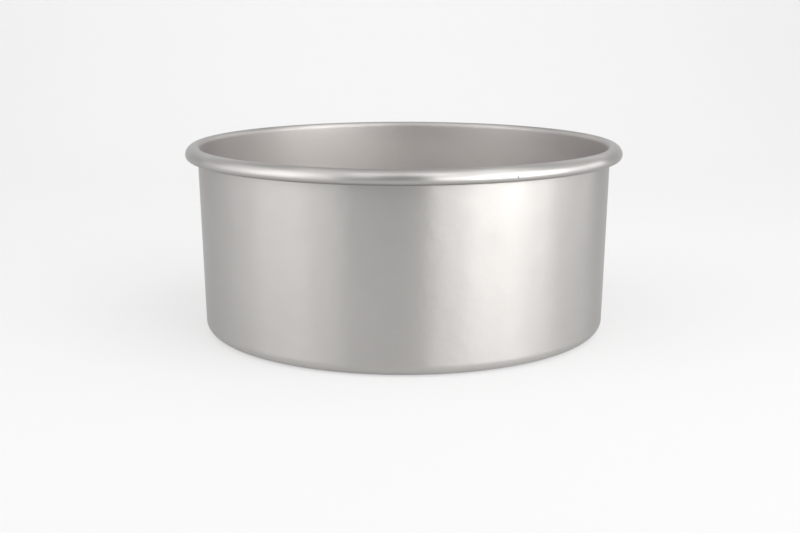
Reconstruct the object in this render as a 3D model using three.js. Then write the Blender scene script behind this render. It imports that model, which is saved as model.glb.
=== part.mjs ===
// Round deep cake pan: a spun aluminium shell with a rolled rim, and a loose base that pushes up out of it.
// Millimetres, +Z up. The origin is the centre of the pan on the surface that it stands on.

import * as THREE from 'three';

// Sheet of the shell and shape of its wall
const SHEET_THICKNESS = 1.2;
const MOUTH_DIAMETER = 228.6; // inside, where the wall turns into the rolled rim
const INSIDE_DEPTH = 101.6; // from the top of the base to the crest of the rim
const WALL_DRAFT = THREE.MathUtils.degToRad(1.2); // lean of the wall that lets a cake slip out
const FOOT_RADIUS = 6.0; // outside radius of the bend between wall and ledge
const LEDGE_WIDTH = 9.0; // flat of the turned-in ledge that carries the base

// Rolled rim, measured over the outside of the curl
const RIM_WIDTH = 8.0; // from the mouth out to the widest point
const RIM_HEIGHT = 7.6; // from the crest down to the underside
const RIM_SHOULDER_RADIUS = 3.0; // bend from the wall up to the crest
const RIM_TUCK_ANGLE = THREE.MathUtils.degToRad(55); // turn of the free edge past the underside

// Loose base
const BASE_THICKNESS = 1.6;
const BASE_EDGE_LAND = 0.5; // upright top of the edge, above the part that follows the foot bend
const BASE_CLEARANCE = 0.4; // all round, between the base and the shell

// Satin clear-anodised aluminium
const ALUMINIUM_COLOUR = '#bdbcb8';
const ALUMINIUM_ROUGHNESS = 0.36;
const ALUMINIUM_METALNESS = 1.0;

// Fineness of the facets
const SEGMENTS_AROUND = 96;
const ARC_STEP = THREE.MathUtils.degToRad(18);
const SAME_POINT = 1e-6;

const QUARTER_TURN = Math.PI / 2;
const HALF_TURN = Math.PI;

// Heights and radii that follow from the driving dimensions
const mouthRadius = MOUTH_DIAMETER / 2;
const baseTop = SHEET_THICKNESS + BASE_THICKNESS;
const rimCrest = baseTop + INSIDE_DEPTH;
const crownRadius = RIM_WIDTH - RIM_SHOULDER_RADIUS;
const tuckRadius = RIM_HEIGHT - crownRadius;
const footInsideRadius = FOOT_RADIUS - SHEET_THICKNESS;

// The rim is three arcs that run into each other: shoulder, crown and tuck.
// The mouth is the place where the inside of the wall is tangent to the shoulder.
const shoulderCentre = new THREE.Vector2(
  mouthRadius + RIM_SHOULDER_RADIUS * Math.cos(WALL_DRAFT),
  rimCrest - RIM_SHOULDER_RADIUS,
);
const mouthHeight = shoulderCentre.y + RIM_SHOULDER_RADIUS * Math.sin(WALL_DRAFT);
const crownCentre = new THREE.Vector2(shoulderCentre.x, rimCrest - crownRadius);
const tuckCentre = new THREE.Vector2(crownCentre.x + crownRadius - tuckRadius, crownCentre.y);

// The foot bend is tangent to the leaning wall and to the surface that the pan stands on
const wallRunIn = (mouthHeight - FOOT_RADIUS) * Math.tan(WALL_DRAFT);
const footCentre = new THREE.Vector2(
  mouthRadius - wallRunIn - footInsideRadius / Math.cos(WALL_DRAFT),
  FOOT_RADIUS,
);
const openingRadius = footCentre.x - LEDGE_WIDTH;

function aluminium() {
  return new THREE.MeshStandardMaterial({
    color: ALUMINIUM_COLOUR,
    roughness: ALUMINIUM_ROUGHNESS,
    metalness: ALUMINIUM_METALNESS,
  });
}

function arcPoints(centre, radius, from, to) {
  const steps = Math.ceil(Math.abs(to - from) / ARC_STEP);
  return new THREE.ArcCurve(centre.x, centre.y, radius, from, to, to < from).getPoints(steps);
}

// Turns a profile of (radius, height) points about the Z axis. The profile runs up its outer side.
function revolve(points) {
  const profile = points.filter((point, i) => i === 0 || point.distanceTo(points[i - 1]) > SAME_POINT);
  return new THREE.LatheGeometry(profile, SEGMENTS_AROUND).rotateX(QUARTER_TURN);
}

// The shell is one sheet with four bends, from the ledge up to the free edge of the rim.
// Both faces of the sheet turn about the centre of each bend, one sheet thickness apart.
function panBody() {
  const bends = [
    {
      centre: footCentre,
      outsideRadius: FOOT_RADIUS,
      insideRadius: footInsideRadius,
      from: -QUARTER_TURN,
      to: -WALL_DRAFT,
    },
    {
      centre: shoulderCentre,
      outsideRadius: RIM_SHOULDER_RADIUS - SHEET_THICKNESS,
      insideRadius: RIM_SHOULDER_RADIUS,
      from: HALF_TURN - WALL_DRAFT,
      to: QUARTER_TURN,
    },
    {
      centre: crownCentre,
      outsideRadius: crownRadius - SHEET_THICKNESS,
      insideRadius: crownRadius,
      from: QUARTER_TURN,
      to: 0,
    },
    {
      centre: tuckCentre,
      outsideRadius: tuckRadius - SHEET_THICKNESS,
      insideRadius: tuckRadius,
      from: 0,
      to: -QUARTER_TURN - RIM_TUCK_ANGLE,
    },
  ];
  const outside = bends.flatMap((bend) => arcPoints(bend.centre, bend.outsideRadius, bend.from, bend.to));
  const inside = bends.flatMap((bend) => arcPoints(bend.centre, bend.insideRadius, bend.from, bend.to));
  const ledgeUnderside = new THREE.Vector2(openingRadius, 0);
  const ledgeTop = new THREE.Vector2(openingRadius, SHEET_THICKNESS);
  const profile = [ledgeUnderside, ...outside, ...inside.reverse(), ledgeTop, ledgeUnderside];

  const mesh = new THREE.Mesh(revolve(profile), aluminium());
  mesh.name = 'pan_body';
  return mesh;
}

// The base is a flat disc on the ledge. The lower part of its edge is rounded like the inside of the foot bend,
// so that the disc nests in the corner, and the shell widens upwards, so that it lifts out freely.
function looseBase() {
  const edgeCentre = new THREE.Vector2(footCentre.x - BASE_CLEARANCE, footCentre.y);
  const roundHeight = Math.min(BASE_THICKNESS - BASE_EDGE_LAND, footInsideRadius);
  const roundEnd = Math.asin(roundHeight / footInsideRadius - 1);
  const roundEdge = arcPoints(edgeCentre, footInsideRadius, -QUARTER_TURN, roundEnd);
  const edgeRadius = roundEdge.at(-1).x;
  const profile = [
    new THREE.Vector2(0, SHEET_THICKNESS),
    ...roundEdge,
    new THREE.Vector2(edgeRadius, baseTop),
    new THREE.Vector2(0, baseTop),
  ];

  const mesh = new THREE.Mesh(revolve(profile), aluminium());
  mesh.name = 'loose_base';
  return mesh;
}

const cakePan = new THREE.Group();
cakePan.name = 'cake_pan';
cakePan.add(panBody(), looseBase());

export default cakePan;
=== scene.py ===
"""Looks of a round deep cake pan in satin aluminium: a spun shell with a rolled rim, and its loose base."""

import math

import bmesh
import bpy
from bpy.props import FloatProperty, FloatVectorProperty, IntProperty, PointerProperty
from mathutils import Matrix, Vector


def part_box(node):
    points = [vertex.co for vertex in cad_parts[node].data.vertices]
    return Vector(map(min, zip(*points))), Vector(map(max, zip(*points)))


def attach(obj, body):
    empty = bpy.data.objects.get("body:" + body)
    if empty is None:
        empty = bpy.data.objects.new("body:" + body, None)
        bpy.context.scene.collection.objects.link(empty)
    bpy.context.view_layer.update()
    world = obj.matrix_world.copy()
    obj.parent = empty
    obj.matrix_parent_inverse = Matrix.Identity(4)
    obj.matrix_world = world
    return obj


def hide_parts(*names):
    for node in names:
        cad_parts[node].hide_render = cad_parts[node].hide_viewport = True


bl_info = {
    "name": "Cake pan",
    "version": (1, 0, 0),
    "blender": (4, 5, 0),
    "location": "3D View > Sidebar > Cake pan",
    "description": "Makes a round deep cake pan with a rolled rim and a loose base",
    "category": "Object",
}

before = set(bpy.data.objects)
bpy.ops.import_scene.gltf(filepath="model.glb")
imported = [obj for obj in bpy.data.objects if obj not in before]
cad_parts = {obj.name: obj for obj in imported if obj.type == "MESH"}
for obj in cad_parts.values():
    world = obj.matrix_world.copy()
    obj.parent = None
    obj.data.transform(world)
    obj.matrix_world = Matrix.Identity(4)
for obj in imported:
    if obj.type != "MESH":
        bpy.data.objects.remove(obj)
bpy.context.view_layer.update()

# The frame's own places, in metres: the pan stands on Z 0, and the base lies on the ledge
SHELL_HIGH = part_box("pan_body")[1]
BASE_LOW, BASE_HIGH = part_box("loose_base")

QUARTER_TURN = math.pi / 2
HALF_TURN = math.pi
PAN_AXIS = (0, 0, 1)

# Fineness of a profile: turn of one step of a bend, length of one step of a straight stretch, and how far
# from each end of the stretch its first and last inner points lie
ARC_STEP = math.radians(5)
RUN_STEP = 0.004
GUARD = 0.0004

# Points of a turned piece that lie closer than this are merged, which closes the piece on the axis
POLE_SIZE = 1e-6

# Marks from 0 to 1 that tell the finish where a profile's points lie
MARKS = ("inside", "rim", "rub", "painted_shade")
RUBBED_SHARE = 1 / 3  # of the foot bend's outside, from the ledge up, over which the scuffs fade out
EVEN_SHADE_SHARE = 0.6  # of the rim's tuck, from the free edge on, that gets painted shade evenly

# Noise lies between 0 and 1: its middle, where most of it lies, and the range of two noises added up
NOISE_MIDDLE = 0.5
NOISE_BULK = (0.3, 0.7)
TWO_NOISES = (0.0, 2.0)
FILM_DETAIL = {"Cloud": 4.0, "Grain": 2.0, "Wave": 3.0}

# Noise at which a scuff starts and at which it is full, and the share of its size at which the nick starts
# and at which it is full
SCUFF_EDGE = (0.42, 0.62)
NICK_EDGE = (1.0, 0.6)

# Part of a whole turn from along the spun lines to across them
ACROSS_LINES = 0.25

# Width in pixels of the picture that the focal length is for, and width of the sensor in millimetres
IMAGE_WIDTH = 800
SENSOR_WIDTH = 36.0

# Floor sweep: half its width, its front and back along Y, its top, the bend behind the pan, and how far it
# lies below the pan's foot
SWEEP_HALF_WIDTH = 8.0
SWEEP_FRONT = -8.0
SWEEP_BACK = 1.6
SWEEP_TOP = 1.1
SWEEP_BEND = 1.0
SWEEP_BEND_STEPS = 16
SWEEP_DROP = 0.0002

# Lamp that washes the sweep behind the pan: place, turn, size, spread in degrees and power in watts
WASH_PLACE = (0, 0.9, 0.9)
WASH_TURN = (math.radians(40), 0, 0)
WASH_SIZE = (2.4, 0.4)
WASH_SPREAD = 180
WASH_POWER = 6

# Tiers of soft panels that face a point in the pan. Each tier is its elevation in degrees, its distance,
# the panels' width and height, their spread in degrees, and then each panel's azimuth and power in watts.
# Azimuth is in degrees from the camera's side, positive to the right. The last tier is one panel overhead.
PANEL_AIM = Vector((0, 0, 0.05))
TIERS = (
    (10, 1.6, (0.5, 0.56), 80, (
        (-113, 0.09), (-95, 0.24), (-77, 0.41), (-59, 0.45), (-41, 0.27),
        (23, 0.55), (41, 1.04), (59, 1.17), (77, 0.85), (95, 0.35), (113, 0.3))),
    (33, 1.3, (0.65, 0.53), 120, (
        (-150, 0.21), (-120, 0.18), (-90, 0.44), (-60, 0.84), (-30, 0.45),
        (30, 0.51), (60, 0.59), (90, 0.17), (120, 0.17), (150, 0.28))),
    (58, 1.3, (0.97, 0.54), 120, (
        (-135, 0.11), (-90, 0.23), (-45, 0.41), (0, 0.88),
        (45, 0.64), (90, 0.47), (135, 0.05), (180, 0.14))),
    (89.9, 1.4, (1.4, 1.4), 180, ((0, 2.58),)),
)


class ShellSizes(bpy.types.PropertyGroup):
    """Sizes of the spun shell."""

    rim_crest: FloatProperty(
        name="Rim crest", description="Height of the top of the rolled rim",
        default=SHELL_HIGH.z, unit="LENGTH")
    rim_radius: FloatProperty(
        name="Rim radius", description="Radius of the widest point of the rolled rim",
        default=SHELL_HIGH.x, unit="LENGTH")
    rim_width: FloatProperty(
        name="Rim width", description="From the mouth out to the widest point of the rim",
        default=0.008, unit="LENGTH")
    rim_height: FloatProperty(
        name="Rim height", description="From the crest down to the underside of the rim",
        default=0.0076, unit="LENGTH")
    shoulder_radius: FloatProperty(
        name="Shoulder radius", description="Bend from the wall up to the crest of the rim",
        default=0.003, unit="LENGTH")
    mouth_blend: FloatProperty(
        name="Mouth blend",
        description="Stretch of the wall below the mouth over which the rim's finish fades out",
        default=0.012, unit="LENGTH")
    tuck_angle: FloatProperty(
        name="Tuck angle", description="Turn of the rim's free edge past its underside",
        default=math.radians(55), subtype="ANGLE")
    sheet: FloatProperty(
        name="Sheet", description="Thickness of the aluminium sheet",
        default=BASE_LOW.z, unit="LENGTH")
    wall_draft: FloatProperty(
        name="Wall draft", description="Lean of the wall from upright",
        default=math.radians(1.2), subtype="ANGLE")
    foot_radius: FloatProperty(
        name="Foot radius", description="Outside radius of the bend between wall and ledge",
        default=0.006, unit="LENGTH")
    ledge_width: FloatProperty(
        name="Ledge width", description="Flat of the turned-in ledge that carries the base",
        default=0.009, unit="LENGTH")
    steps_around: IntProperty(
        name="Steps around", description="Facets round the shell", default=320, min=48)


class BaseSizes(bpy.types.PropertyGroup):
    """Sizes of the loose base."""

    underside: FloatProperty(
        name="Underside", description="Height of the base's underside on the ledge",
        default=BASE_LOW.z, unit="LENGTH")
    top: FloatProperty(
        name="Top", description="Height of the base's top face",
        default=BASE_HIGH.z, unit="LENGTH")
    radius: FloatProperty(
        name="Radius", description="Radius of the disc",
        default=BASE_HIGH.x, unit="LENGTH")
    edge_land: FloatProperty(
        name="Edge land", description="Upright top of the edge, above the part that follows the foot bend",
        default=0.0005, unit="LENGTH")
    edge_break: FloatProperty(
        name="Edge break", description="Rounding of the upper corner of the edge",
        default=0.0003, unit="LENGTH")
    steps_around: IntProperty(
        name="Steps around", description="Facets round the base", default=320, min=48)


class FinishSettings(bpy.types.PropertyGroup):
    """Satin clear-anodised aluminium."""

    colour: FloatVectorProperty(
        name="Outside", description="Colour of the anodised aluminium on the outside",
        default=(0.471, 0.458, 0.443), subtype="COLOR", min=0, max=1)
    # Painted light: the inside is lighter and pinker than the outside, standing in for the light that
    # bounces round inside the pan and a pink tint in that light
    inside_painted_light_colour: FloatVectorProperty(
        name="Inside", description="Colour of the anodised aluminium on the inside",
        default=(0.65, 0.618, 0.602), subtype="COLOR", min=0, max=1)
    clouding: FloatProperty(
        name="Clouding", description="How much the anodised film clouds the colour",
        default=0.03, min=0, max=1, subtype="FACTOR")
    cloud_size: FloatProperty(
        name="Cloud size", description="Size of the clouds in the shell's anodised film",
        default=0.05, unit="LENGTH")
    base_cloud_size: FloatProperty(
        name="Base cloud size", description="Size of the clouds in the base's anodised film",
        default=0.07, unit="LENGTH")
    grain_size: FloatProperty(
        name="Grain size", description="Size of the fine grain of the anodised film",
        default=0.0004, unit="LENGTH", precision=5)
    roughness: FloatProperty(
        name="Roughness", description="Roughness of the satin finish",
        default=0.36, min=0, max=1, subtype="FACTOR")
    roughness_spread: FloatProperty(
        name="Roughness spread", description="How far grain and lines vary the roughness, up and down",
        default=0.06, min=0, max=1, subtype="FACTOR")
    rim_roughness: FloatProperty(
        name="Rim roughness", description="Roughness of the rim, which rolling has burnished",
        default=0.33, min=0, max=1, subtype="FACTOR")
    inside_roughness: FloatProperty(
        name="Inside roughness", description="Roughness of the inside of the pan",
        default=0.78, min=0, max=1, subtype="FACTOR")
    line_spread: FloatProperty(
        name="Line spread", description="How far the spun lines spread a highlight across themselves",
        default=0.82, min=0, max=1, subtype="FACTOR")
    line_spacing: FloatProperty(
        name="Line spacing", description="Mean spacing of the fine lines left by spinning",
        default=0.0009, unit="LENGTH", precision=5)
    line_depth: FloatProperty(
        name="Line depth", description="Depth of the fine lines left by spinning",
        default=0.000003, unit="LENGTH", precision=6)
    wave_size: FloatProperty(
        name="Wave size", description="Size of the slight waves that spinning leaves in the sheet",
        default=0.011, unit="LENGTH", precision=4)
    wave_depth: FloatProperty(
        name="Wave depth", description="Depth of the slight waves that spinning leaves in the sheet",
        default=0.0002, unit="LENGTH", precision=5)
    edge_tint: FloatVectorProperty(
        name="Edge tint", description="Tint of the metal where it is seen at a grazing angle",
        default=(0.75, 0.75, 0.75), subtype="COLOR", min=0, max=1)
    # Painted shade: a darker colour put in the crease under the rim and round the base's edge, where shade
    # falls
    painted_shade_colour: FloatVectorProperty(
        name="Shade_in_creases",
        description="Colour of the dulled film in the crease under the rim and round the base",
        default=(0.35, 0.343, 0.33), subtype="COLOR", min=0, max=1)
    nick_place: FloatVectorProperty(
        name="Nick", description="Place of the small nick on the rim",
        default=(0.0551, -0.1092, 0.0997), subtype="TRANSLATION", unit="LENGTH")
    nick_size: FloatVectorProperty(
        name="Nick size", description="Half sizes of the small nick on the rim",
        default=(0.0007, 0.0007, 0.0011), subtype="XYZ", unit="LENGTH", precision=5)
    nick_colour: FloatVectorProperty(
        name="Nick colour", description="Colour of the small nick on the rim",
        default=(0.2, 0.195, 0.19), subtype="COLOR", min=0, max=1)
    scuff_colour: FloatVectorProperty(
        name="Scuffs", description="Colour of the scuffs on edges that get rubbed",
        default=(0.33, 0.323, 0.31), subtype="COLOR", min=0, max=1)
    scuff_size: FloatProperty(
        name="Scuff size", description="Size of the scuffs on edges that get rubbed",
        default=0.004, unit="LENGTH", precision=4)


class StageSettings(bpy.types.PropertyGroup):
    """Floor, room and camera."""

    floor_colour: FloatVectorProperty(
        name="Floor", description="Colour of the floor and of the sweep behind the pan",
        default=(0.73, 0.73, 0.73), subtype="COLOR", min=0, max=1)
    floor_white: FloatProperty(
        name="Floor white",
        description="Share of plain white in the floor as the camera and reflections see it",
        default=0.5, min=0, max=1, subtype="FACTOR")
    room_colour: FloatVectorProperty(
        name="Room", description="Colour of the even light in the room round the stage",
        default=(0.35, 0.35, 0.35), subtype="COLOR", min=0, max=1)
    focal_length: FloatProperty(
        name="Focal length", description="Focal length in pixels of the 800 pixel wide picture",
        default=1238.7, min=1)
    camera_distance: FloatProperty(
        name="Camera distance", description="From the pan's axis to the camera, along the floor",
        default=0.7007, unit="LENGTH")
    camera_height: FloatProperty(
        name="Camera height", description="Height of the camera over the floor",
        default=0.1825, unit="LENGTH")
    camera_pitch: FloatProperty(
        name="Camera pitch", description="Tilt of the camera below level",
        default=math.radians(12.12), subtype="ANGLE")
    axis_offset: FloatProperty(
        name="Axis offset", description="Pixels by which the pan stands right of the picture's centre",
        default=3.9)


def arc(centre, radius, start, end):
    """Points of a round stretch, both ends included."""
    steps = max(2, math.ceil(abs(end - start) / ARC_STEP))
    angles = (start + (end - start) * i / steps for i in range(steps + 1))
    return [centre + Vector((radius * math.cos(a), radius * math.sin(a))) for a in angles]


def run(start, end):
    """Points inside a straight stretch, with one close to each end so that its shading stays flat."""
    length = (end - start).length
    steps = max(1, round(length / RUN_STEP))
    places = [GUARD, *(length * i / steps for i in range(1, steps)), length - GUARD]
    return [start.lerp(end, place / length) for place in places]


def rounded_end(start, end):
    """Half-round edge of a sheet, from one face to the other, without the two end points."""
    centre = (start + end) / 2
    angle = math.atan2(start.y - centre.y, start.x - centre.x)
    return arc(centre, (end - start).length / 2, angle, angle + HALF_TURN)[1:-1]


def shell_profile(sizes):
    """Cross-section of the bent sheet, up its outside and down its inside.

    Each stretch is its (radius, height) points and its marks. A mark is a pair of values, one for each end
    of the stretch.
    """
    draft = sizes.wall_draft
    sheet = sizes.sheet
    crown_radius = sizes.rim_width - sizes.shoulder_radius
    tuck_radius = sizes.rim_height - crown_radius
    crown = Vector((sizes.rim_radius - crown_radius, sizes.rim_crest - crown_radius))
    shoulder = Vector((crown.x, sizes.rim_crest - sizes.shoulder_radius))
    tuck = Vector((sizes.rim_radius - tuck_radius, crown.y))

    mouth = shoulder + sizes.shoulder_radius * Vector((-math.cos(draft), math.sin(draft)))
    run_in = (mouth.y - sizes.foot_radius) * math.tan(draft)
    foot_inside = sizes.foot_radius - sheet
    foot = Vector((mouth.x - run_in - foot_inside / math.cos(draft), sizes.foot_radius))

    tuck_end = -QUARTER_TURN - sizes.tuck_angle + sheet / 2 / tuck_radius
    bends = [
        (foot, sizes.foot_radius, foot_inside, -QUARTER_TURN, -draft),
        (shoulder, sizes.shoulder_radius - sheet, sizes.shoulder_radius, HALF_TURN - draft, QUARTER_TURN),
        (crown, crown_radius - sheet, crown_radius, QUARTER_TURN, 0),
        (tuck, tuck_radius - sheet, tuck_radius, 0, tuck_end),
    ]
    outside = [arc(centre, outer, start, end) for centre, outer, inner, start, end in bends]
    inside = [arc(centre, inner, start, end) for centre, outer, inner, start, end in bends]

    opening = foot.x - sizes.ledge_width + sheet / 2
    ledge_under = Vector((opening, 0))
    ledge_top = Vector((opening, sheet))
    wall_length = (inside[1][0] - inside[0][-1]).length
    lip = inside[1][0].lerp(inside[0][-1], sizes.mouth_blend / wall_length)
    ledge_out = [ledge_under, *run(ledge_under, outside[0][0])]
    rubbed = round(len(outside[0]) * RUBBED_SHARE)
    wall_up = run(outside[0][-1], outside[1][0])
    curl_in = [*outside[1], *outside[2][1:], *outside[3][1:]]
    curl_out = inside[3][::-1]
    shaded = round(len(curl_out) * EVEN_SHADE_SHARE)
    crown_out = inside[2][-2::-1]
    mouth_in = [*inside[1][-2::-1], *run(inside[1][0], lip)]
    wall_down = [lip, *run(lip, inside[0][-1]), *inside[0][::-1]]
    ledge_in = [*run(inside[0][0], ledge_top), ledge_top]
    return [
        (ledge_out, {"rub": (1, 1)}),
        (outside[0][:rubbed], {"rub": (1, 0)}),
        ([*outside[0][rubbed:], *wall_up], {}),
        (curl_in, {"rim": (1, 1)}),
        # Painted shade on the rim's tuck: full from its free edge along the first part, then fading out up
        # the tuck
        (rounded_end(curl_in[-1], curl_out[0]), {"rim": (1, 1), "painted_shade": (1, 1)}),
        (curl_out[:shaded], {"rim": (1, 1), "painted_shade": (1, 1)}),
        (curl_out[shaded:], {"rim": (1, 1), "painted_shade": (1, 0)}),
        (crown_out, {"rim": (1, 1)}),
        (mouth_in, {"rim": (1, 0), "inside": (0, 1)}),
        ([*wall_down, *ledge_in], {"inside": (1, 1)}),
        (rounded_end(ledge_top, ledge_under), {"inside": (1, 0), "rub": (0, 1)}),
    ]


def base_profile(sizes, shell):
    """Half of the disc's cross-section, from the axis out and back to it, in stretches like the shell's."""
    bend = shell.foot_radius - shell.sheet
    round_height = sizes.top - sizes.underside - sizes.edge_land
    round_end = math.asin(round_height / bend - 1)
    centre = Vector((sizes.radius - bend * math.cos(round_end), sizes.underside + bend))
    lower_edge = arc(centre, bend, -QUARTER_TURN, round_end)
    corner = Vector((sizes.radius - sizes.edge_break, sizes.top - sizes.edge_break))
    upper_edge = arc(corner, sizes.edge_break, 0, QUARTER_TURN)
    axis_under = Vector((0, sizes.underside))
    axis_top = Vector((0, sizes.top))
    under = [axis_under, *run(axis_under, lower_edge[0])]
    top = [*run(upper_edge[-1], axis_top), axis_top]
    return [
        (under, {}),
        # Painted shade round the disc's edge, where it sits in the shell's foot bend
        (lower_edge, {"rub": (0, 1), "painted_shade": (0, 1)}),
        (upper_edge, {"inside": (0, 1), "rub": (1, 1), "painted_shade": (1, 0)}),
        (top, {"inside": (1, 1)}),
    ]


def add_node(tree, kind, place, **settings):
    """A node of that kind at a place in its tree, with its settings."""
    node = tree.nodes.new(kind)
    node.location = place
    for name, value in settings.items():
        setattr(node, name, value)
    return node


def add_sockets(tree, direction, sockets):
    """Adds sockets to a node group, given as names with their kinds."""
    for name, kind in sockets.items():
        tree.interface.new_socket(name, in_out=direction, socket_type="NodeSocket" + kind)


def turning_tree():
    """Geometry Nodes: turns a profile of edges about the Z axis, as a lathe does."""
    tree = bpy.data.node_groups.new("Turn on a lathe", "GeometryNodeTree")
    tree.is_modifier = True
    add_sockets(tree, "INPUT", {
        "Profile": "Geometry",
        "Turning radius": "Float",
        "Steps around": "Int",
        "Pole size": "Float",
        "Finish": "Material",
    })
    add_sockets(tree, "OUTPUT", {"Turned piece": "Geometry"})

    inputs = add_node(tree, "NodeGroupInput", (-900, 0))
    profile = add_node(tree, "GeometryNodeMeshToCurve", (-600, 150))
    circle = add_node(tree, "GeometryNodeCurvePrimitiveCircle", (-600, -100), mode="RADIUS")
    upright = add_node(tree, "GeometryNodeSetCurveNormal", (-400, -100), mode="Z_UP")
    sweep = add_node(tree, "GeometryNodeCurveToMesh", (-200, 0))
    # The sweep draws the profile's heights downwards, so half a turn about X sets the piece upright
    stand = add_node(tree, "GeometryNodeTransform", (0, 0))
    stand.inputs["Rotation"].default_value = (HALF_TURN, 0, 0)
    close = add_node(tree, "GeometryNodeMergeByDistance", (200, 0))
    smooth = add_node(tree, "GeometryNodeSetShadeSmooth", (400, 0))
    realise = add_node(tree, "GeometryNodeRealizeInstances", (600, 0))
    finish = add_node(tree, "GeometryNodeSetMaterial", (800, 0))
    output = add_node(tree, "NodeGroupOutput", (1000, 0))

    tree.links.new(inputs.outputs["Profile"], profile.inputs["Mesh"])
    tree.links.new(inputs.outputs["Turning radius"], circle.inputs["Radius"])
    tree.links.new(inputs.outputs["Steps around"], circle.inputs["Resolution"])
    tree.links.new(circle.outputs["Curve"], upright.inputs["Curve"])
    tree.links.new(upright.outputs["Curve"], sweep.inputs["Curve"])
    tree.links.new(profile.outputs["Curve"], sweep.inputs["Profile Curve"])
    tree.links.new(sweep.outputs["Mesh"], stand.inputs["Geometry"])
    tree.links.new(stand.outputs["Geometry"], close.inputs["Geometry"])
    tree.links.new(inputs.outputs["Pole size"], close.inputs["Distance"])
    tree.links.new(close.outputs["Geometry"], smooth.inputs["Geometry"])
    tree.links.new(smooth.outputs["Geometry"], realise.inputs["Geometry"])
    tree.links.new(realise.outputs["Geometry"], finish.inputs["Geometry"])
    tree.links.new(inputs.outputs["Finish"], finish.inputs["Material"])
    tree.links.new(finish.outputs["Geometry"], output.inputs["Turned piece"])
    return tree


def set_inputs(modifier, values):
    """Sets a Geometry Nodes modifier's inputs, given by their names."""
    for item in modifier.node_group.interface.items_tree:
        if item.in_out == "INPUT" and item.name in values:
            modifier[item.identifier] = values[item.name]


def face_outwards(mesh):
    """Points every face of a closed mesh outwards."""
    work = bmesh.new()
    work.from_mesh(mesh)
    bmesh.ops.recalc_face_normals(work, faces=work.faces)
    if work.calc_volume(signed=True) < 0:
        bmesh.ops.reverse_faces(work, faces=work.faces)
    work.to_mesh(mesh)
    work.free()


def profile_mesh(name, stretches, closed, turning_radius):
    """Wire of a profile whose points carry their place along it and the marks of their stretch."""
    points = [point for stretch, marks in stretches for point in stretch]
    count = len(points)
    edges = [(i, (i + 1) % count) for i in range(count if closed else count - 1)]
    values = {mark: [] for mark in MARKS}
    for stretch, marks in stretches:
        for i in range(len(stretch)):
            share = i / max(1, len(stretch) - 1)
            for mark in MARKS:
                start, end = marks.get(mark, (0, 0))
                values[mark].append(start + (end - start) * share)
    values["along"] = [0.0]
    for start, end in zip(points, points[1:]):
        values["along"].append(values["along"][-1] + (end - start).length)
    mesh = bpy.data.meshes.new(name)
    mesh.from_pydata([(p.x - turning_radius, p.y, 0) for p in points], edges, [])
    for mark, numbers in values.items():
        mesh.attributes.new(mark, "FLOAT", "POINT").data.foreach_set("value", numbers)
    return mesh


def turned_piece(name, stretches, closed, turning_radius, steps, finish):
    """A piece turned about the Z axis from its profile, as a plain mesh with its finish."""
    drawing = profile_mesh(name + "_profile", stretches, closed, turning_radius)
    piece = bpy.data.objects.new(name, drawing)
    bpy.context.scene.collection.objects.link(piece)

    lathe = piece.modifiers.new("Lathe", "NODES")
    lathe.node_group = bpy.data.node_groups.get("Turn on a lathe") or turning_tree()
    set_inputs(lathe, {
        "Turning radius": turning_radius,
        "Steps around": steps,
        "Pole size": POLE_SIZE,
        "Finish": finish,
    })
    evaluated = piece.evaluated_get(bpy.context.evaluated_depsgraph_get())
    mesh = bpy.data.meshes.new_from_object(evaluated)
    mesh.name = name
    piece.modifiers.remove(lathe)
    piece.data = mesh
    bpy.data.meshes.remove(drawing)
    face_outwards(mesh)
    return piece


def add_noise(tree, place, detail, roughness=0.5, scale=1.0, dimensions="3D"):
    """A noise texture."""
    noise = add_node(tree, "ShaderNodeTexNoise", place, noise_dimensions=dimensions)
    noise.inputs["Scale"].default_value = scale
    noise.inputs["Detail"].default_value = detail
    noise.inputs["Roughness"].default_value = roughness
    return noise


def add_range(tree, place, old, new=(0.0, 1.0)):
    """A node that maps an old range of values to a new one."""
    mapped = add_node(tree, "ShaderNodeMapRange", place)
    mapped.inputs["From Min"].default_value = old[0]
    mapped.inputs["From Max"].default_value = old[1]
    mapped.inputs["To Min"].default_value = new[0]
    mapped.inputs["To Max"].default_value = new[1]
    return mapped


def spun_lines_group():
    """Shader group: fine lines left by spinning, which run round the Z axis, and their broader bands."""
    name = "Spun lines"
    if name in bpy.data.node_groups:
        return bpy.data.node_groups[name]
    tree = bpy.data.node_groups.new(name, "ShaderNodeTree")
    add_sockets(tree, "INPUT", {"Along": "Float", "Spacing": "Float"})
    add_sockets(tree, "OUTPUT", {"Height": "Float", "Band": "Float"})
    inputs = add_node(tree, "NodeGroupInput", (-400, 0))
    count = add_node(tree, "ShaderNodeMath", (-200, 0), operation="DIVIDE")
    fine = add_noise(tree, (0, 100), detail=3.0, roughness=0.65, dimensions="1D")
    broad = add_noise(tree, (0, -150), detail=2.0, scale=0.06, dimensions="1D")
    output = add_node(tree, "NodeGroupOutput", (250, 0))
    tree.links.new(inputs.outputs["Along"], count.inputs[0])
    tree.links.new(inputs.outputs["Spacing"], count.inputs[1])
    tree.links.new(count.outputs["Value"], fine.inputs["W"])
    tree.links.new(count.outputs["Value"], broad.inputs["W"])
    tree.links.new(fine.outputs["Fac"], output.inputs["Height"])
    tree.links.new(broad.outputs["Fac"], output.inputs["Band"])
    return tree


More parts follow.
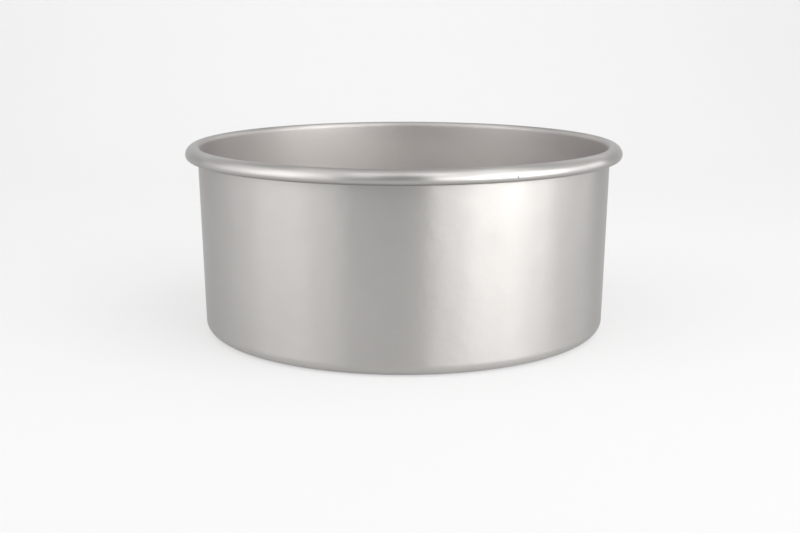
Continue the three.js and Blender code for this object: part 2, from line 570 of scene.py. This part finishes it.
def anodised_film_group():
    """Shader group: faint clouds and fine grain of an anodised film, and slight waves in the sheet."""
    name = "Anodised film"
    if name in bpy.data.node_groups:
        return bpy.data.node_groups[name]
    tree = bpy.data.node_groups.new(name, "ShaderNodeTree")
    add_sockets(tree, "INPUT", {"Vector": "Vector"})
    add_sockets(tree, "INPUT", {layer + " size": "Float" for layer in FILM_DETAIL})
    add_sockets(tree, "OUTPUT", {layer: "Float" for layer in FILM_DETAIL})
    inputs = add_node(tree, "NodeGroupInput", (-600, 0))
    output = add_node(tree, "NodeGroupOutput", (200, 0))
    for row, (layer, detail) in enumerate(FILM_DETAIL.items()):
        shrink = add_node(tree, "ShaderNodeVectorMath", (-400, -250 * row), operation="DIVIDE")
        noise = add_noise(tree, (-200, -250 * row), detail)
        tree.links.new(inputs.outputs["Vector"], shrink.inputs[0])
        tree.links.new(inputs.outputs[layer + " size"], shrink.inputs[1])
        tree.links.new(shrink.outputs["Vector"], noise.inputs["Vector"])
        tree.links.new(noise.outputs["Fac"], output.inputs[layer])
    return tree


def scuffs_group():
    """Shader group: broken scuffs where a piece gets rubbed."""
    name = "Scuffs"
    if name in bpy.data.node_groups:
        return bpy.data.node_groups[name]
    tree = bpy.data.node_groups.new(name, "ShaderNodeTree")
    add_sockets(tree, "INPUT", {"Vector": "Vector", "Rub": "Float", "Size": "Float"})
    add_sockets(tree, "OUTPUT", {"Scuff": "Float"})
    inputs = add_node(tree, "NodeGroupInput", (-600, 0))
    shrink = add_node(tree, "ShaderNodeVectorMath", (-400, 0), operation="DIVIDE")
    noise = add_noise(tree, (-200, 0), detail=6.0, roughness=0.7)
    broken = add_range(tree, (0, 0), SCUFF_EDGE)
    scuff = add_node(tree, "ShaderNodeMath", (200, 0), operation="MULTIPLY")
    output = add_node(tree, "NodeGroupOutput", (400, 0))
    tree.links.new(inputs.outputs["Vector"], shrink.inputs[0])
    tree.links.new(inputs.outputs["Size"], shrink.inputs[1])
    tree.links.new(shrink.outputs["Vector"], noise.inputs["Vector"])
    tree.links.new(noise.outputs["Fac"], broken.inputs["Value"])
    tree.links.new(broken.outputs["Result"], scuff.inputs[0])
    tree.links.new(inputs.outputs["Rub"], scuff.inputs[1])
    tree.links.new(scuff.outputs["Value"], output.inputs["Scuff"])
    return tree


def empty_material(name):
    """A material whose nodes are still to be added."""
    material = bpy.data.materials.new(name)
    material.use_nodes = True
    material.node_tree.nodes.clear()
    return material


def mark_values(tree):
    """What a piece's points carry, by name: their place along the profile and their marks."""
    values = {}
    for row, mark in enumerate(("along", *MARKS)):
        place = (-1500, -50 - 200 * row)
        values[mark] = add_node(tree, "ShaderNodeAttribute", place, attribute_name=mark).outputs["Fac"]
    return values


def mix_in(tree, place, colour, mask, added):
    """Mixes a plain colour into a colour where a mask is set."""
    mix = add_node(tree, "ShaderNodeMix", place, data_type="RGBA")
    mix.inputs["B"].default_value = (*added, 1)
    tree.links.new(mask, mix.inputs["Factor"])
    tree.links.new(colour, mix.inputs["A"])
    return mix.outputs["Result"]


def nick_mask(tree, settings, place):
    """Mask of the small nick on the rim."""
    offset = add_node(tree, "ShaderNodeVectorMath", (-1200, 800), operation="SUBTRACT")
    offset.inputs[1].default_value = settings.nick_place
    shrink = add_node(tree, "ShaderNodeVectorMath", (-1000, 800), operation="DIVIDE")
    shrink.inputs[1].default_value = settings.nick_size
    away = add_node(tree, "ShaderNodeVectorMath", (-800, 800), operation="LENGTH")
    mask = add_range(tree, (-600, 800), NICK_EDGE)
    tree.links.new(place, offset.inputs[0])
    tree.links.new(offset.outputs["Vector"], shrink.inputs[0])
    tree.links.new(shrink.outputs["Vector"], away.inputs[0])
    tree.links.new(away.outputs["Value"], mask.inputs["Value"])
    return mask.outputs["Result"]


def film_colour(tree, settings, marks, cloud, scuff):
    """Colour of the film, with a lighter, pinker inside that is painted light, faint clouds, scuffs and
    painted shade in the creases.
    """
    # The inside's lighter, pinker colour is painted light
    sides_with_painted_light = add_node(tree, "ShaderNodeMix", (-900, 400), data_type="RGBA")
    sides_with_painted_light.inputs["A"].default_value = (*settings.colour, 1)
    sides_with_painted_light.inputs["B"].default_value = (*settings.inside_painted_light_colour, 1)
    clouds = add_range(tree, (-900, 200), NOISE_BULK, (1.0 - settings.clouding, 1.0 + settings.clouding))
    clouded = add_node(tree, "ShaderNodeVectorMath", (-650, 300), operation="SCALE")
    tree.links.new(marks["inside"], sides_with_painted_light.inputs["Factor"])
    tree.links.new(cloud, clouds.inputs["Value"])
    tree.links.new(sides_with_painted_light.outputs["Result"], clouded.inputs[0])
    tree.links.new(clouds.outputs["Result"], clouded.inputs["Scale"])
    scuffed = mix_in(tree, (-450, 300), clouded.outputs["Vector"], scuff, settings.scuff_colour)
    # Painted shade in the crease under the rim and round the base's edge
    return mix_in(tree, (-300, 300), scuffed, marks["painted_shade"], settings.painted_shade_colour)


def satin_roughness(tree, settings, marks, grain, band):
    """Roughness of the satin: varied by grain and lines, matt inside, smoother on the burnished rim."""
    texture = add_node(tree, "ShaderNodeMath", (-1050, -50), operation="ADD")
    least = settings.roughness - settings.roughness_spread
    most = settings.roughness + settings.roughness_spread
    satin = add_range(tree, (-900, -50), TWO_NOISES, (least, most))
    matt = add_node(tree, "ShaderNodeMath", (-650, -100), operation="MULTIPLY_ADD")
    matt.inputs[1].default_value = settings.inside_roughness - settings.roughness
    burnished = add_node(tree, "ShaderNodeMix", (-400, 0))
    burnished.inputs["B"].default_value = settings.rim_roughness
    tree.links.new(grain, texture.inputs[0])
    tree.links.new(band, texture.inputs[1])
    tree.links.new(texture.outputs["Value"], satin.inputs["Value"])
    tree.links.new(marks["inside"], matt.inputs[0])
    tree.links.new(satin.outputs["Result"], matt.inputs[2])
    tree.links.new(marks["rim"], burnished.inputs["Factor"])
    tree.links.new(matt.outputs["Value"], burnished.inputs["A"])
    return burnished.outputs["Result"]


def spun_relief(tree, settings, marks, height, wave):
    """Normals of the spun lines and the slight waves, which stop at the rim that rolling has smoothed."""
    wavy = add_node(tree, "ShaderNodeMix", (-900, -300))
    wavy.inputs["B"].default_value = NOISE_MIDDLE
    relief = add_node(tree, "ShaderNodeMath", (-650, -300), operation="MULTIPLY_ADD")
    relief.inputs[1].default_value = settings.wave_depth / settings.line_depth
    bump = add_node(tree, "ShaderNodeBump", (-400, -250))
    bump.inputs["Strength"].default_value = 1.0
    bump.inputs["Distance"].default_value = settings.line_depth
    tree.links.new(marks["rim"], wavy.inputs["Factor"])
    tree.links.new(wave, wavy.inputs["A"])
    tree.links.new(wavy.outputs["Result"], relief.inputs[0])
    tree.links.new(height, relief.inputs[2])
    tree.links.new(relief.outputs["Value"], bump.inputs["Height"])
    return bump.outputs["Normal"]


def aluminium(name, settings, cloud_size, nicked=False):
    """Satin clear-anodised aluminium with spun lines, clouds, grain, waves and scuffs, painted light inside
    and painted shade in the creases.
    """
    material = empty_material(name)
    tree = material.node_tree
    place = add_node(tree, "ShaderNodeTexCoord", (-1500, 200)).outputs["Object"]
    marks = mark_values(tree)
    lines = add_node(tree, "ShaderNodeGroup", (-1200, -100), node_tree=spun_lines_group())
    lines.inputs["Spacing"].default_value = settings.line_spacing
    film = add_node(tree, "ShaderNodeGroup", (-1200, 250), node_tree=anodised_film_group())
    film.inputs["Cloud size"].default_value = cloud_size
    film.inputs["Grain size"].default_value = settings.grain_size
    film.inputs["Wave size"].default_value = settings.wave_size
    scuffs = add_node(tree, "ShaderNodeGroup", (-1200, -350), node_tree=scuffs_group())
    scuffs.inputs["Size"].default_value = settings.scuff_size
    tree.links.new(marks["along"], lines.inputs["Along"])
    tree.links.new(place, film.inputs["Vector"])
    tree.links.new(place, scuffs.inputs["Vector"])
    tree.links.new(marks["rub"], scuffs.inputs["Rub"])

    colour = film_colour(tree, settings, marks, film.outputs["Cloud"], scuffs.outputs["Scuff"])
    if nicked:
        colour = mix_in(tree, (-150, 300), colour, nick_mask(tree, settings, place), settings.nick_colour)
    roughness = satin_roughness(tree, settings, marks, film.outputs["Grain"], lines.outputs["Band"])
    relief = spun_relief(tree, settings, marks, lines.outputs["Height"], film.outputs["Wave"])

    # The spun lines run round the axis, so a highlight spreads across them, up the wall and out along
    # the base
    around = add_node(tree, "ShaderNodeVectorMath", (-400, -450), operation="CROSS_PRODUCT")
    around.inputs[0].default_value = PAN_AXIS
    metal = add_node(tree, "ShaderNodeBsdfPrincipled", (-100, 100))
    metal.inputs["Metallic"].default_value = 1.0
    metal.inputs["Specular Tint"].default_value = (*settings.edge_tint, 1)
    metal.inputs["Anisotropic"].default_value = settings.line_spread
    metal.inputs["Anisotropic Rotation"].default_value = ACROSS_LINES
    output = add_node(tree, "ShaderNodeOutputMaterial", (200, 100))
    tree.links.new(place, around.inputs[1])
    tree.links.new(colour, metal.inputs["Base Color"])
    tree.links.new(roughness, metal.inputs["Roughness"])
    tree.links.new(relief, metal.inputs["Normal"])
    tree.links.new(around.outputs["Vector"], metal.inputs["Tangent"])
    tree.links.new(metal.outputs["BSDF"], output.inputs["Surface"])
    return material


def floor_paint(settings):
    """Matt floor paint. The camera and reflections see part of it as plain white, which evens it out."""
    material = empty_material("Floor paint")
    tree = material.node_tree
    paint = add_node(tree, "ShaderNodeBsdfDiffuse", (0, 100))
    paint.inputs["Color"].default_value = (*settings.floor_colour, 1)
    white = add_node(tree, "ShaderNodeEmission", (0, -100))
    rays = add_node(tree, "ShaderNodeLightPath", (-600, 300))
    mixed = add_node(tree, "ShaderNodeMixShader", (200, 0))
    output = add_node(tree, "ShaderNodeOutputMaterial", (400, 0))
    seen = rays.outputs["Is Camera Ray"]
    for place, kind in ((-400, "Is Glossy Ray"), (-200, "Is Transmission Ray")):
        both = add_node(tree, "ShaderNodeMath", (place, 300), operation="MAXIMUM")
        tree.links.new(seen, both.inputs[0])
        tree.links.new(rays.outputs[kind], both.inputs[1])
        seen = both.outputs["Value"]
    share = add_node(tree, "ShaderNodeMath", (0, 300), operation="MULTIPLY")
    share.inputs[1].default_value = settings.floor_white
    tree.links.new(seen, share.inputs[0])
    tree.links.new(share.outputs["Value"], mixed.inputs["Fac"])
    tree.links.new(paint.outputs["BSDF"], mixed.inputs[1])
    tree.links.new(white.outputs["Emission"], mixed.inputs[2])
    tree.links.new(mixed.outputs["Shader"], output.inputs["Surface"])
    return material


def place_piece(piece, body, node):
    """Hands a finished piece to the frame: it rides on its body and stands for its node."""
    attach(piece, body)
    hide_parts(node)


class MakeShell(bpy.types.Operator):
    """Make the spun shell with its rolled rim and turned-in ledge"""

    bl_idname = "cakepan.make_shell"
    bl_label = "Make the shell"

    def execute(self, context):
        sizes = context.scene.cakepan_shell
        settings = context.scene.cakepan_finish
        finish = aluminium("Pan aluminium", settings, settings.cloud_size, nicked=True)
        profile = shell_profile(sizes)
        shell = turned_piece("spun_shell", profile, True, sizes.rim_radius, sizes.steps_around, finish)
        place_piece(shell, "shell", "pan_body")
        return {"FINISHED"}


class MakeBase(bpy.types.Operator):
    """Make the loose base that lies on the ledge"""

    bl_idname = "cakepan.make_base"
    bl_label = "Make the base"

    def execute(self, context):
        sizes = context.scene.cakepan_base
        settings = context.scene.cakepan_finish
        finish = aluminium("Base aluminium", settings, settings.base_cloud_size)
        profile = base_profile(sizes, context.scene.cakepan_shell)
        base = turned_piece("loose_disc", profile, False, sizes.radius, sizes.steps_around, finish)
        place_piece(base, "base", "loose_base")
        return {"FINISHED"}


def stage_mesh(name, vertices, faces, material):
    """A piece of the stage."""
    mesh = bpy.data.meshes.new(name)
    mesh.from_pydata(vertices, [], faces)
    mesh.materials.append(material)
    piece = bpy.data.objects.new(name, mesh)
    bpy.context.scene.collection.objects.link(piece)
    return piece


def make_sweep(settings):
    """Floor that curves up behind the pan."""
    bend_start = SWEEP_BACK - SWEEP_BEND
    side = [(SWEEP_FRONT, -SWEEP_DROP), (bend_start, -SWEEP_DROP)]
    for i in range(1, SWEEP_BEND_STEPS + 1):
        angle = QUARTER_TURN * i / SWEEP_BEND_STEPS
        rise = SWEEP_BEND - SWEEP_BEND * math.cos(angle)
        side.append((bend_start + SWEEP_BEND * math.sin(angle), rise - SWEEP_DROP))
    side.append((SWEEP_BACK, SWEEP_TOP))
    vertices = [(x, y, z) for y, z in side for x in (-SWEEP_HALF_WIDTH, SWEEP_HALF_WIDTH)]
    faces = [(2 * i, 2 * i + 1, 2 * i + 3, 2 * i + 2) for i in range(len(side) - 1)]
    sweep = stage_mesh("floor_sweep", vertices, faces, floor_paint(settings))
    for face in sweep.data.polygons:
        face.use_smooth = True


def soft_lamp(name, place, turn, size, spread, power):
    """A soft rectangular lamp."""
    data = bpy.data.lights.new(name, "AREA")
    data.shape = "RECTANGLE"
    data.size, data.size_y = size
    data.spread = math.radians(spread)
    data.energy = power
    lamp = bpy.data.objects.new(name, data)
    lamp.location = place
    lamp.rotation_euler = turn
    bpy.context.scene.collection.objects.link(lamp)


def soft_panel(azimuth, elevation, distance, size, spread, power):
    """A soft lamp that faces the pan."""
    turn = math.radians(azimuth)
    rise = math.radians(elevation)
    way = Vector((math.sin(turn) * math.cos(rise), -math.cos(turn) * math.cos(rise), math.sin(rise)))
    facing = way.to_track_quat("Z", "Y").to_euler()
    name = "panel_%d_%d" % (elevation, azimuth)
    soft_lamp(name, PANEL_AIM + distance * way, facing, size, spread, power)


def make_lamps():
    """A tent of soft panels round the pan and above it, and one lamp that washes the sweep behind it."""
    for elevation, distance, size, spread, panels in TIERS:
        for azimuth, power in panels:
            soft_panel(azimuth, elevation, distance, size, spread, power)
    soft_lamp("sweep_wash", WASH_PLACE, WASH_TURN, WASH_SIZE, WASH_SPREAD, WASH_POWER)


def make_camera(settings):
    """Camera in front of the pan, a little above its rim."""
    data = bpy.data.cameras.new("camera")
    data.sensor_width = SENSOR_WIDTH
    data.sensor_fit = "HORIZONTAL"
    data.lens = settings.focal_length / IMAGE_WIDTH * SENSOR_WIDTH
    data.shift_x = -settings.axis_offset / IMAGE_WIDTH
    camera = bpy.data.objects.new("camera", data)
    camera.location = (0, -settings.camera_distance, settings.camera_height)
    camera.rotation_euler = (QUARTER_TURN - settings.camera_pitch, 0, 0)
    bpy.context.scene.collection.objects.link(camera)
    bpy.context.scene.camera = camera


def make_room(settings):
    """Even light of the room round the stage."""
    world = bpy.data.worlds.new("Room")
    world.use_nodes = True
    world.node_tree.nodes["Background"].inputs["Color"].default_value = (*settings.room_colour, 1)
    bpy.context.scene.world = world


class MakeStage(bpy.types.Operator):
    """Make the floor, the lamps and the camera"""

    bl_idname = "cakepan.make_stage"
    bl_label = "Make the stage"

    def execute(self, context):
        settings = context.scene.cakepan_stage
        make_sweep(settings)
        make_lamps()
        make_room(settings)
        make_camera(settings)
        context.scene.view_settings.view_transform = "Standard"
        return {"FINISHED"}


class CakePanPanel(bpy.types.Panel):
    """Sizes and colours of the cake pan, and the buttons that make its pieces"""

    bl_idname = "VIEW3D_PT_cakepan"
    bl_label = "Cake pan"
    bl_space_type = "VIEW_3D"
    bl_region_type = "UI"
    bl_category = "Cake pan"

    def draw(self, context):
        for name, operator in SECTIONS:
            box = self.layout.box()
            settings = getattr(context.scene, name)
            for key in settings.bl_rna.properties.keys():
                if key not in ("rna_type", "name"):
                    box.prop(settings, key)
            if operator:
                box.operator(operator.bl_idname)


SETTINGS = {
    "cakepan_shell": ShellSizes,
    "cakepan_base": BaseSizes,
    "cakepan_finish": FinishSettings,
    "cakepan_stage": StageSettings,
}
SECTIONS = [
    ("cakepan_finish", None),
    ("cakepan_shell", MakeShell),
    ("cakepan_base", MakeBase),
    ("cakepan_stage", MakeStage),
]
CLASSES = [*SETTINGS.values(), MakeShell, MakeBase, MakeStage, CakePanPanel]


def register():
    """Adds the classes and their settings to Blender."""
    for item in CLASSES:
        bpy.utils.register_class(item)
    for name, group in SETTINGS.items():
        setattr(bpy.types.Scene, name, PointerProperty(type=group))


def unregister():
    """Takes the settings and the classes out of Blender again."""
    for name in SETTINGS:
        delattr(bpy.types.Scene, name)
    for item in reversed(CLASSES):
        bpy.utils.unregister_class(item)


def main():
    """Makes the pan and its stage."""
    register()
    bpy.ops.cakepan.make_shell()
    bpy.ops.cakepan.make_base()
    bpy.ops.cakepan.make_stage()


if __name__ == "__main__":
    main()
